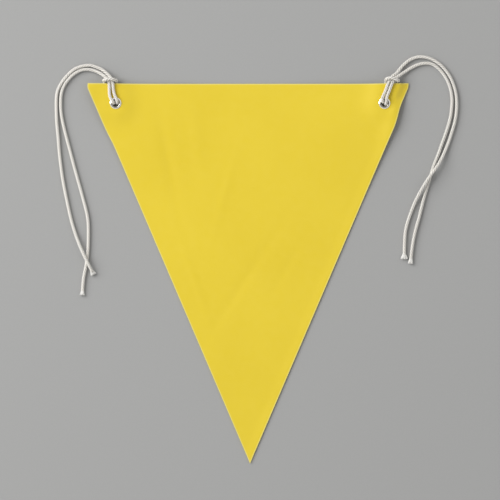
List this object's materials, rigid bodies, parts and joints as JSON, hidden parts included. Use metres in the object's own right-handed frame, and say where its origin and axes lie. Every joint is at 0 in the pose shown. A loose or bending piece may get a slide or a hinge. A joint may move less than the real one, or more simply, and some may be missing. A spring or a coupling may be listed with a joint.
{
  "type": "triangular pennant with tie cords",
  "caption": "Triangular flexible sheet pennant, point down, with an eyelet in each top corner and a tie cord cow-hitched through each eyelet round the top edge.",
  "frame": {"origin": "on the surface the sheet lies on, under the middle of the sheet's 300 by 350 mm outline", "axes": "+X to the right seen from the front, +Y from the tip to the top edge, +Z out of the sheet's front face"},
  "size_m": [0.371, 0.3751, 0.0108],
  "materials": {
    "sheet": "semi-gloss flexible vinyl, warm yellow right through",
    "eyelet": "bright nickel plate",
    "cord": "undyed three-strand twisted cotton"
  },
  "bodies": {
    "pennant": {"pennant_sheet": "sheet", "left_eyelet": "eyelet", "left_eyelet_washer": "eyelet", "left_cord_hitch": "cord", "right_eyelet": "eyelet", "right_eyelet_washer": "eyelet", "right_cord_hitch": "cord"},
    "left_cord_tails": {"left_cord_tail_outer": "cord", "left_cord_tail_inner": "cord"},
    "right_cord_tails": {"right_cord_tail_outer": "cord", "right_cord_tail_inner": "cord"}
  },
  "joints": [
    {"name": "left_cord_swing", "type": "hinge", "parent": "pennant", "child": "left_cord_tails", "pos_m": [-0.1345, 0.1834, 0.0038], "axis": [0, 0, 1], "range_deg": [-40, 15]},
    {"name": "right_cord_swing", "type": "hinge", "parent": "pennant", "child": "right_cord_tails", "pos_m": [0.13665, 0.1831, 0.0038], "axis": [0, 0, 1], "range_deg": [-15, 40]}
  ]
}
